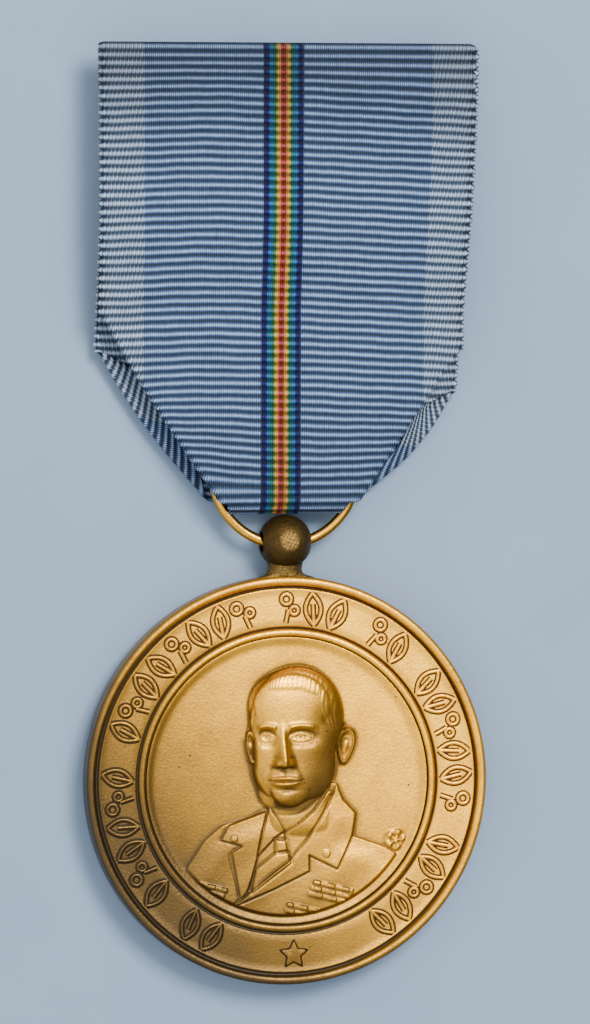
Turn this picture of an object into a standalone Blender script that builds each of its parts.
"""Service medal on a ribbon, with its suspension ring and a pin brooch on the back.

The medal lies flat, face up: +Z comes out of its face, +Y points to the fold at the top of the ribbon
and +X to the right. The origin is on the surface that it lies on, under the middle of its bounding box.
"""
import math

import bmesh
import bpy
from mathutils import Matrix, Vector

MM = 0.001
GAP = 0.3 * MM                       # between pieces that touch

# medal
DISC_RADIUS = 20.0 * MM
DISC_THICKNESS = 2.6 * MM
RIM_WIDTH = 1.0 * MM
RIM_STEP = 0.35 * MM                 # from the rim down to the border band
RIM_ROUND = 0.95 * MM                # the rim is rounded nearly over its whole width
BEAD_RADIUS = 14.5 * MM              # raised ring between the border band and the field
BEAD_WIDTH = 0.9 * MM
DISH_DEPTH = 0.3 * MM                # field below the border band
HEAD_CENTRE = Vector((0.9 * MM, 4.2 * MM, 0.0))
HEAD_SIZE = Vector((4.6 * MM, 6.7 * MM, 1.5 * MM))
TORSO_CENTRE = Vector((0.2 * MM, -14.0 * MM, 0.0))
TORSO_SIZE = Vector((12.5 * MM, 9.5 * MM, 1.1 * MM))
STAR_CENTRE = Vector((0.6 * MM, -17.0 * MM, 0.0))
STAR_RADIUS = 1.35 * MM
STAR_HEIGHT = 0.25 * MM

# suspension
BALL_RADIUS = 2.65 * MM
BORE_RADIUS = 1.05 * MM
FOOT_RADIUS = 1.7 * MM
FOOT_HEIGHT = 1.0 * MM
RING_RADIUS = 7.2 * MM               # of the wire's centre line
WIRE_RADIUS = 0.5 * MM
RING_DROP = 0.25 * MM                # the wire's arc bows this far below the middle of the bore

# ribbon
RIBBON_WIDTH = 38.0 * MM
RIBBON_PLY = 0.4 * MM
FOLDED_PLIES = 0.9 * MM              # one layer with its folded-in corner
POCKET_HALF = WIRE_RADIUS + 0.35 * MM
LAYER_GAP = 0.2 * MM
RIBBON_LENGTH = 45.65 * MM           # from the bottom fold to the top fold
BOTTOM_FOLD_WIDTH = 10.4 * MM        # the fold itself, narrow enough to lie inside the ring
LEFT = -1
RIGHT = 1
# each side of each layer: how high above the bottom fold its corner starts to be folded in, how far
# out its edge is there, and where the folded edge would meet the line of the bottom fold
CORNERS = {
    ("front", LEFT): (19.9 * MM, 18.9 * MM, 5.4 * MM),
    ("front", RIGHT): (17.2 * MM, 17.6 * MM, 5.9 * MM),
    ("back", LEFT): (16.5 * MM, 18.9 * MM, 7.1 * MM),
    ("back", RIGHT): (12.0 * MM, 16.8 * MM, 6.4 * MM),
}

# brooch
BAR_LENGTH = 32.0 * MM
BAR_WIDTH = 5.0 * MM
BAR_THICKNESS = 0.5 * MM
BAR_BELOW_TOP = 9.0 * MM             # from the top fold to the middle of the bar
HINGE_X = -12.5 * MM
CATCH_X = 12.5 * MM
HOUSING_RADIUS = 1.7 * MM
HOUSING_BORE = 1.3 * MM
HOUSING_LENGTH = 2.6 * MM
LOCK_RADIUS = HOUSING_BORE - GAP
LOCK_BORE = 0.65 * MM
LOCK_LENGTH = 4.2 * MM
SLOT_WIDTH = 1.3 * MM
NEEDLE_RADIUS = 0.4 * MM
NEEDLE_TIP_X = 16.0 * MM
EYE_RADIUS = 1.0 * MM
EYE_THICKNESS = 1.0 * MM
EYE_BORE = 0.55 * MM
RIVET_RADIUS = 0.35 * MM
RIVET_HEAD_RADIUS = 0.8 * MM
CHEEK_THICKNESS = 0.45 * MM
CHEEK_WIDTH = 2.4 * MM
THREAD_RADIUS = 0.15 * MM
TACK_X = (-15.2 * MM, -6.0 * MM, 6.0 * MM, 15.2 * MM)

# places that follow from the sizes
BALL_ABOVE_DISC = DISC_RADIUS + GAP + 0.4 * MM + BALL_RADIUS
RIBBON_ABOVE_DISC = BALL_ABOVE_DISC + BALL_RADIUS + 0.35 * MM
TOTAL_LENGTH = DISC_RADIUS + RIBBON_ABOVE_DISC + RIBBON_LENGTH
DISC_Y = DISC_RADIUS - TOTAL_LENGTH / 2
BALL_Y = DISC_Y + BALL_ABOVE_DISC
RING_Y = BALL_Y + RING_RADIUS - RING_DROP
BOTTOM_FOLD_Y = DISC_Y + RIBBON_ABOVE_DISC
TOP_FOLD_Y = BOTTOM_FOLD_Y + RIBBON_LENGTH
MID_Z = BALL_RADIUS                  # plane of the disc, the ball and the ring
BAR_Y = TOP_FOLD_Y - BAR_BELOW_TOP
PIN_Z = HOUSING_RADIUS
BAR_Z = 2 * HOUSING_RADIUS + GAP     # underside of the bar
RIBBON_BACK_Z = BAR_Z + BAR_THICKNESS + GAP

GILT = (0.72, 0.50, 0.20, 1.0)
GILT_DARK = (0.55, 0.37, 0.15, 1.0)
BRASS = (0.66, 0.52, 0.27, 1.0)
STEEL = (0.60, 0.60, 0.62, 1.0)
RIBBON_BLUE = (0.36, 0.44, 0.58, 1.0)
THREAD_WHITE = (0.80, 0.82, 0.86, 1.0)


def clear_scene():
    for old in list(bpy.data.objects):
        bpy.data.objects.remove(old, do_unlink=True)


def new_collection(name):
    collection = bpy.data.collections.new(name)
    bpy.context.scene.collection.children.link(collection)
    return collection


def new_material(name, colour, metallic, roughness):
    material = bpy.data.materials.new(name)
    material.use_nodes = True
    shader = material.node_tree.nodes["Principled BSDF"]
    shader.inputs["Base Color"].default_value = colour
    shader.inputs["Metallic"].default_value = metallic
    shader.inputs["Roughness"].default_value = roughness
    material.diffuse_color = colour
    return material


def mesh_from(bm, name):
    mesh = bpy.data.meshes.new(name)
    bmesh.ops.recalc_face_normals(bm, faces=bm.faces)
    bm.to_mesh(mesh)
    bm.free()
    return mesh


def add_piece(name, mesh, material, location, parent=None, smooth=True):
    """A piece at a world location, kept under an empty when it has a joint."""
    piece = bpy.data.objects.new(name, mesh)
    mesh.materials.append(material)
    if smooth:
        mesh.shade_smooth()
        mesh.set_sharp_from_angle(angle=math.radians(35))
    piece.parent = parent
    offset = parent.location if parent else Vector()
    piece.location = Vector(location) - offset
    parts.objects.link(piece)
    return piece


def add_cutter(name, mesh, location, parent=None):
    cutter = bpy.data.objects.new(name, mesh)
    cutter.parent = parent
    offset = parent.location if parent else Vector()
    cutter.location = Vector(location) - offset
    cutter.hide_render = True
    cutter.display_type = "WIRE"
    cutters.objects.link(cutter)
    return cutter


def add_axis(name, location):
    """An empty on a joint's axis."""
    axis = bpy.data.objects.new(name, None)
    axis.empty_display_size = 3 * MM
    axis.location = location
    parts.objects.link(axis)
    return axis


def combine(piece, other, operation):
    modifier = piece.modifiers.new(other.name, "BOOLEAN")
    modifier.object = other
    modifier.operation = operation
    modifier.solver = "EXACT"


def box_mesh(name, size, centre=(0.0, 0.0, 0.0), bevel=0.0):
    bm = bmesh.new()
    bmesh.ops.create_cube(bm, size=1.0)
    bmesh.ops.scale(bm, vec=size, verts=bm.verts)
    if bevel > 0.0:
        bmesh.ops.bevel(bm, geom=bm.edges[:], offset=bevel, segments=2, affect="EDGES", profile=0.5)
    bmesh.ops.translate(bm, vec=centre, verts=bm.verts)
    return mesh_from(bm, name)


def rod_mesh(name, radius, length, along, end_radius=None, segments=32, centre=(0.0, 0.0, 0.0)):
    """A round bar or cone along X, Y or Z; end_radius is at its far, positive end."""
    turn = {"X": Matrix.Rotation(math.pi / 2, 3, "Y"), "Y": Matrix.Rotation(-math.pi / 2, 3, "X"),
            "Z": Matrix.Identity(3)}
    bm = bmesh.new()
    far = radius if end_radius is None else end_radius
    bmesh.ops.create_cone(bm, cap_ends=True, segments=segments, radius1=radius, radius2=far, depth=length)
    bmesh.ops.rotate(bm, cent=(0, 0, 0), matrix=turn[along], verts=bm.verts)
    bmesh.ops.translate(bm, vec=centre, verts=bm.verts)
    return mesh_from(bm, name)


def ball_mesh(name, size, segments=40, rings=20):
    bm = bmesh.new()
    bmesh.ops.create_uvsphere(bm, u_segments=segments, v_segments=rings, radius=1.0)
    bmesh.ops.scale(bm, vec=size, verts=bm.verts)
    return mesh_from(bm, name)


def turned_mesh(name, profile):
    """An open outline in the XZ plane, from the axis on top round the outside to the axis below."""
    bm = bmesh.new()
    points = [bm.verts.new((x, 0.0, z)) for x, z in profile]
    for first, second in zip(points, points[1:]):
        bm.edges.new((first, second))
    mesh = bpy.data.meshes.new(name)
    bm.to_mesh(mesh)
    bm.free()
    return mesh


def spin_about_z(piece, steps):
    modifier = piece.modifiers.new("turned", "SCREW")
    modifier.axis = "Z"
    modifier.steps = steps
    modifier.render_steps = steps
    modifier.use_merge_vertices = True
    modifier.merge_threshold = 0.00001
    modifier.use_smooth_shade = True


def smooth_step(value, start, end):
    t = min(max((value - start) / (end - start), 0.0), 1.0)
    return t * t * (3 - 2 * t)


def mix(first, second, amount):
    return first + (second - first) * amount


# ---------------------------------------------------------------- medal
def disc_profile():
    top = DISC_THICKNESS / 2
    band = top - RIM_STEP
    field = band - DISH_DEPTH
    profile = [(0.0, field), (BEAD_RADIUS - 3 * BEAD_WIDTH, field)]
    profile.append((BEAD_RADIUS - BEAD_WIDTH / 2, band))
    for step in range(5):                                        # round bead
        angle = math.pi * step / 4
        profile.append((BEAD_RADIUS - BEAD_WIDTH / 2 * math.cos(angle) * 0.98,
                        band + 0.02 * MM + 0.3 * BEAD_WIDTH * math.sin(angle)))
    profile.append((BEAD_RADIUS + BEAD_WIDTH / 2, band))
    profile.append((DISC_RADIUS - RIM_WIDTH - 0.1 * MM, band))
    for step in range(6):                                        # rounded upper edge
        angle = math.pi / 2 * step / 5
        profile.append((DISC_RADIUS - RIM_ROUND + RIM_ROUND * math.sin(angle),
                        top - RIM_ROUND + RIM_ROUND * math.cos(angle)))
    for step in range(6):                                        # rounded lower edge
        angle = math.pi / 2 * step / 5
        profile.append((DISC_RADIUS - RIM_ROUND + RIM_ROUND * math.cos(angle),
                        -top + RIM_ROUND - RIM_ROUND * math.sin(angle)))
    profile.append((0.0, -top))
    return profile


def star_mesh():
    bm = bmesh.new()
    corners = []
    for index in range(10):
        angle = math.pi / 2 + math.pi * index / 5
        radius = STAR_RADIUS if index % 2 == 0 else STAR_RADIUS * 0.45
        corners.append(bm.verts.new((radius * math.cos(angle), radius * math.sin(angle), 0.0)))
    face = bm.faces.new(corners)
    raised = bmesh.ops.extrude_face_region(bm, geom=[face])
    lifted = [item for item in raised["geom"] if isinstance(item, bmesh.types.BMVert)]
    bmesh.ops.translate(bm, vec=(0, 0, STAR_HEIGHT + 0.2 * MM), verts=lifted)
    return mesh_from(bm, "star")


def make_medal(swing_axis):
    centre = Vector((0.0, DISC_Y, MID_Z))
    disc = add_piece("medal_disc", turned_mesh("medal_disc", disc_profile()), gilt, centre, swing_axis)
    spin_about_z(disc, 96)
    field_z = DISC_THICKNESS / 2 - RIM_STEP - DISH_DEPTH
    relief = Vector((0.0, 0.0, field_z - 0.1 * MM))
    bust = add_cutter("bust_head", ball_mesh("bust_head", HEAD_SIZE), centre + relief + HEAD_CENTRE, swing_axis)
    torso = add_cutter("bust_torso", ball_mesh("bust_torso", TORSO_SIZE),
                       centre + relief + TORSO_CENTRE, swing_axis)
    inside_bead = rod_mesh("inside_bead", BEAD_RADIUS - BEAD_WIDTH, 2.6 * MM, "Z", segments=96)
    trim = add_cutter("inside_bead", inside_bead, centre + relief + Vector((0, 0, 0.4 * MM)), swing_axis)
    combine(bust, torso, "UNION")
    combine(bust, trim, "INTERSECT")
    combine(disc, bust, "UNION")
    star_base = Vector((0.0, 0.0, DISC_THICKNESS / 2 - RIM_STEP - 0.2 * MM))
    star = add_cutter("border_star", star_mesh(), centre + star_base + STAR_CENTRE, swing_axis)
    combine(disc, star, "UNION")

    ball_centre = swing_axis.location
    ball = add_piece("suspension_ball", ball_mesh("suspension_ball", [BALL_RADIUS] * 3), gilt_dark,
                     ball_centre, swing_axis)
    foot_bottom = DISC_RADIUS + GAP - BALL_ABOVE_DISC
    foot_mesh = rod_mesh("ball_foot", FOOT_RADIUS, FOOT_HEIGHT, "Y", end_radius=FOOT_RADIUS * 0.8,
                         centre=(0.0, foot_bottom + FOOT_HEIGHT / 2, 0.0))
    foot = add_cutter("ball_foot", foot_mesh, ball_centre, swing_axis)
    bore = add_cutter("ball_bore", rod_mesh("ball_bore", BORE_RADIUS, 4 * BALL_RADIUS, "X"),
                      ball_centre, swing_axis)
    combine(ball, foot, "UNION")
    combine(ball, bore, "DIFFERENCE")


def make_ring(slide_axis):
    bpy.ops.mesh.primitive_torus_add(major_segments=72, minor_segments=12,
                                     major_radius=RING_RADIUS, minor_radius=WIRE_RADIUS)
    made = bpy.context.object
    mesh = made.data
    bpy.data.objects.remove(made)
    mesh.name = "suspension_ring"
    add_piece("suspension_ring", mesh, gilt, slide_axis.location, slide_axis)


# ---------------------------------------------------------------- ribbon
def layer_surfaces(y):
    """Heights of one station of the ribbon: outer and inner faces of the front and the back layer."""
    rise = smooth_step(y, BOTTOM_FOLD_Y + 13 * MM, BOTTOM_FOLD_Y + 31 * MM)
    ply = mix(FOLDED_PLIES, RIBBON_PLY, smooth_step(y, BOTTOM_FOLD_Y + 15 * MM, BOTTOM_FOLD_Y + 21 * MM))
    back_inner = mix(MID_Z - POCKET_HALF, RIBBON_BACK_Z + RIBBON_PLY, rise)
    front_inner = mix(MID_Z + POCKET_HALF, RIBBON_BACK_Z + RIBBON_PLY + LAYER_GAP, rise)
    return front_inner + ply, front_inner, back_inner, back_inner - ply


def edge_x(y, layer, side):
    """One edge of one layer: narrow at the bottom fold, widening up the folded corner."""
    fold_height, edge_there, edge_at_bottom = CORNERS[layer, side]
    above = y - BOTTOM_FOLD_Y
    if above < fold_height:
        corner_edge = mix(edge_at_bottom, edge_there, above / fold_height)
        inside_ring = BOTTOM_FOLD_WIDTH / 2 + 0.5 * above + 3.0 * max(above - 1.1 * MM, 0.0)
        return side * min(corner_edge, inside_ring)
    share = (above - fold_height) / (RIBBON_LENGTH - fold_height)
    return side * mix(edge_there, RIBBON_WIDTH / 2, share)


def fold_arc(centre_y, centre_z, radius, start, end, steps):
    points = []
    for step in range(steps + 1):
        angle = mix(start, end, step / steps)
        points.append((centre_y + radius * math.cos(angle), centre_z + radius * math.sin(angle)))
    return points


def ribbon_sections():
    """The closed outline of the folded ribbon seen from its edge: pairs of outer and inner points."""
    bottom_radius = POCKET_HALF + FOLDED_PLIES
    top_radius = RIBBON_PLY + LAYER_GAP / 2
    low_y = BOTTOM_FOLD_Y + bottom_radius
    high_y = TOP_FOLD_Y - top_radius
    rises = 34
    stations = [mix(low_y, high_y, step / rises) for step in range(1, rises)]
    top_z = RIBBON_BACK_Z + top_radius
    outer = fold_arc(low_y, MID_Z, bottom_radius, math.pi / 2, 1.5 * math.pi, 12)
    inner = fold_arc(low_y, MID_Z, POCKET_HALF, math.pi / 2, 1.5 * math.pi, 12)
    is_front = [step <= 6 for step in range(13)]
    for y in stations:
        outer.append((y, layer_surfaces(y)[3]))
        inner.append((y, layer_surfaces(y)[2]))
        is_front.append(False)
    outer += fold_arc(high_y, top_z, top_radius, -math.pi / 2, math.pi / 2, 8)
    inner += fold_arc(high_y, top_z, LAYER_GAP / 2, -math.pi / 2, math.pi / 2, 8)
    is_front += [step >= 4 for step in range(9)]
    for y in reversed(stations):
        outer.append((y, layer_surfaces(y)[0]))
        inner.append((y, layer_surfaces(y)[1]))
        is_front.append(True)
    return outer, inner, is_front


def make_ribbon():
    outer, inner, is_front = ribbon_sections()
    bm = bmesh.new()
    rows = []
    for (outer_y, outer_z), (inner_y, inner_z), front in zip(outer, inner, is_front):
        layer = "front" if front else "back"
        left = edge_x(outer_y, layer, LEFT)
        right = edge_x(outer_y, layer, RIGHT)
        rows.append([bm.verts.new((left, outer_y, outer_z)), bm.verts.new((right, outer_y, outer_z)),
                     bm.verts.new((right, inner_y, inner_z)), bm.verts.new((left, inner_y, inner_z))])
    for index, row in enumerate(rows):
        following = rows[(index + 1) % len(rows)]
        for corner in range(4):
            ahead = (corner + 1) % 4
            bm.faces.new((row[corner], row[ahead], following[ahead], following[corner]))
    add_piece("ribbon", mesh_from(bm, "ribbon"), ribbon_cloth, (0.0, 0.0, 0.0))


# ---------------------------------------------------------------- brooch
def make_bar():
    mesh = box_mesh("brooch_bar", (BAR_LENGTH, BAR_WIDTH, BAR_THICKNESS), bevel=0.1 * MM)
    add_piece("brooch_bar", mesh, brass, (0.0, BAR_Y, BAR_Z + BAR_THICKNESS / 2), smooth=False)


def make_hinge():
    place = Vector((HINGE_X, BAR_Y, PIN_Z))
    cheek_inside = EYE_THICKNESS / 2 + GAP
    outside = cheek_inside + CHEEK_THICKNESS
    base_top = BAR_Z - GAP - PIN_Z
    base_thickness = 0.4 * MM
    cheek_bottom = -1.2 * MM
    base = box_mesh("brooch_hinge_bracket", (CHEEK_WIDTH + 0.8 * MM, 2 * outside, base_thickness),
                    centre=(0.0, 0.0, base_top - base_thickness / 2))
    bracket = add_piece("brooch_hinge_bracket", base, brass, place, smooth=False)
    for side in (-1, 1):
        height = base_top - 0.1 * MM - cheek_bottom
        cheek_mesh = box_mesh("cheek", (CHEEK_WIDTH, CHEEK_THICKNESS, height),
                              centre=(0.0, side * (cheek_inside + CHEEK_THICKNESS / 2),
                                      cheek_bottom + height / 2))
        combine(bracket, add_cutter("cheek", cheek_mesh, place), "UNION")
    hole = add_cutter("rivet_hole", rod_mesh("rivet_hole", EYE_BORE, 4 * outside, "Y", segments=24), place)
    combine(bracket, hole, "DIFFERENCE")

    rivet = add_piece("brooch_hinge_rivet",
                      rod_mesh("brooch_hinge_rivet", RIVET_RADIUS, 2 * outside + 1.0 * MM, "Y", segments=24),
                      steel, place)
    for side in (-1, 1):
        head_mesh = rod_mesh("rivet_head", RIVET_HEAD_RADIUS, 0.35 * MM, "Y", segments=24,
                             centre=(0.0, side * (outside + GAP + 0.175 * MM), 0.0))
        combine(rivet, add_cutter("rivet_head", head_mesh, place), "UNION")


def make_pin(pin_axis):
    eye_mesh = rod_mesh("brooch_pin", EYE_RADIUS, EYE_THICKNESS, "Y", segments=32)
    pin = add_piece("brooch_pin", eye_mesh, steel, pin_axis.location, pin_axis)
    start = 0.75 * MM
    point_length = 3.0 * MM
    full = NEEDLE_TIP_X - point_length - HINGE_X
    shank_mesh = rod_mesh("needle_shank", NEEDLE_RADIUS, full - start, "X", segments=16,
                          centre=((start + full) / 2, 0.0, 0.0))
    point_mesh = rod_mesh("needle_point", NEEDLE_RADIUS, point_length, "X", end_radius=0.05 * MM, segments=16,
                          centre=(full + point_length / 2 - 0.01 * MM, 0.0, 0.0))
    combine(pin, add_cutter("needle_shank", shank_mesh, pin_axis.location, pin_axis), "UNION")
    combine(pin, add_cutter("needle_point", point_mesh, pin_axis.location, pin_axis), "UNION")
    bore_mesh = rod_mesh("eye_bore", EYE_BORE, 3 * EYE_THICKNESS, "Y", segments=24)
    combine(pin, add_cutter("eye_bore", bore_mesh, pin_axis.location, pin_axis), "DIFFERENCE")


def make_catch(lock_axis):
    place = lock_axis.location
    housing = add_piece("brooch_catch_housing",
                        rod_mesh("brooch_catch_housing", HOUSING_RADIUS, HOUSING_LENGTH, "X", segments=40),
                        brass, place)
    housing_bore = rod_mesh("housing_bore", HOUSING_BORE, 3 * HOUSING_LENGTH, "X", segments=40)
    combine(housing, add_cutter("housing_bore", housing_bore, place), "DIFFERENCE")
    slot_depth = 2 * HOUSING_RADIUS
    slot_mesh = box_mesh("catch_slot", (3 * LOCK_LENGTH, SLOT_WIDTH, slot_depth),
                         centre=(0.0, 0.0, -slot_depth / 2))
    combine(housing, add_cutter("catch_slot", slot_mesh, place), "DIFFERENCE")

    lock = add_piece("brooch_catch_lock",
                     rod_mesh("brooch_catch_lock", LOCK_RADIUS, LOCK_LENGTH, "X", segments=32,
                              centre=(-0.5 * MM, 0.0, 0.0)), steel, place, lock_axis)
    tab_thickness = 0.5 * MM
    tab_reach = HOUSING_RADIUS - 0.1 * MM
    tab_x = -HOUSING_LENGTH / 2 - GAP - tab_thickness / 2
    tab_mesh = box_mesh("lock_tab", (tab_thickness, tab_reach, 1.1 * MM), centre=(tab_x, tab_reach / 2, 0.0))
    combine(lock, add_cutter("lock_tab", tab_mesh, place, lock_axis), "UNION")
    lock_bore = rod_mesh("lock_bore", LOCK_BORE, 3 * LOCK_LENGTH, "X", segments=32)
    combine(lock, add_cutter("lock_bore", lock_bore, place, lock_axis), "DIFFERENCE")
    lock_slot = box_mesh("lock_slot", (3 * LOCK_LENGTH, SLOT_WIDTH - 0.1 * MM, slot_depth),
                         centre=(0.0, 0.0, -slot_depth / 2))
    combine(lock, add_cutter("lock_slot", lock_slot, place, lock_axis), "DIFFERENCE")


def make_thread_tacks():
    """Loops of thread round the bar, from the ribbon's back and back to it."""
    side_y = BAR_WIDTH / 2 + GAP + THREAD_RADIUS
    end_z = RIBBON_BACK_Z - GAP
    low_z = BAR_Z - GAP - THREAD_RADIUS
    corner = 0.45 * MM
    for number, x in enumerate(TACK_X, start=1):
        points = [(BAR_Y + side_y, end_z)]
        points += fold_arc(BAR_Y + side_y - corner, low_z + corner, corner, 0.0, -math.pi / 2, 4)
        points += fold_arc(BAR_Y - side_y + corner, low_z + corner, corner, -math.pi / 2, -math.pi, 4)
        points.append((BAR_Y - side_y, end_z))
        curve = bpy.data.curves.new(f"thread_tack_{number}", "CURVE")
        curve.dimensions = "3D"
        curve.bevel_depth = THREAD_RADIUS
        curve.bevel_resolution = 2
        curve.use_fill_caps = True
        spline = curve.splines.new("POLY")
        spline.points.add(len(points) - 1)
        for point, (y, z) in zip(spline.points, points):
            point.co = (0.0, y - BAR_Y, z - BAR_Z, 1.0)
        curve.materials.append(thread)
        tack = bpy.data.objects.new(curve.name, curve)
        tack.location = (x, BAR_Y, BAR_Z)
        parts.objects.link(tack)


clear_scene()
parts = new_collection("service_medal")
cutters = new_collection("cutters")
gilt = new_material("gilt_bronze_matte", GILT, 1.0, 0.42)
gilt_dark = new_material("gilt_bronze_worn", GILT_DARK, 1.0, 0.38)
brass = new_material("brooch_brass", BRASS, 1.0, 0.35)
steel = new_material("needle_steel", STEEL, 1.0, 0.25)
ribbon_cloth = new_material("grosgrain_ribbon", RIBBON_BLUE, 0.0, 0.75)
thread = new_material("sewing_thread", THREAD_WHITE, 0.0, 0.8)

ring_slide_axis = add_axis("ring_slide_axis", Vector((0.0, RING_Y, MID_Z)))
medal_swing_axis = add_axis("medal_swing_axis", Vector((0.0, BALL_Y, MID_Z)))
pin_hinge_axis = add_axis("pin_hinge_axis", Vector((HINGE_X, BAR_Y, PIN_Z)))
lock_turn_axis = add_axis("lock_turn_axis", Vector((CATCH_X, BAR_Y, PIN_Z)))

make_medal(medal_swing_axis)
make_ring(ring_slide_axis)
make_ribbon()
make_bar()
make_hinge()
make_pin(pin_hinge_axis)
make_catch(lock_turn_axis)
make_thread_tacks()
bpy.context.view_layer.update()
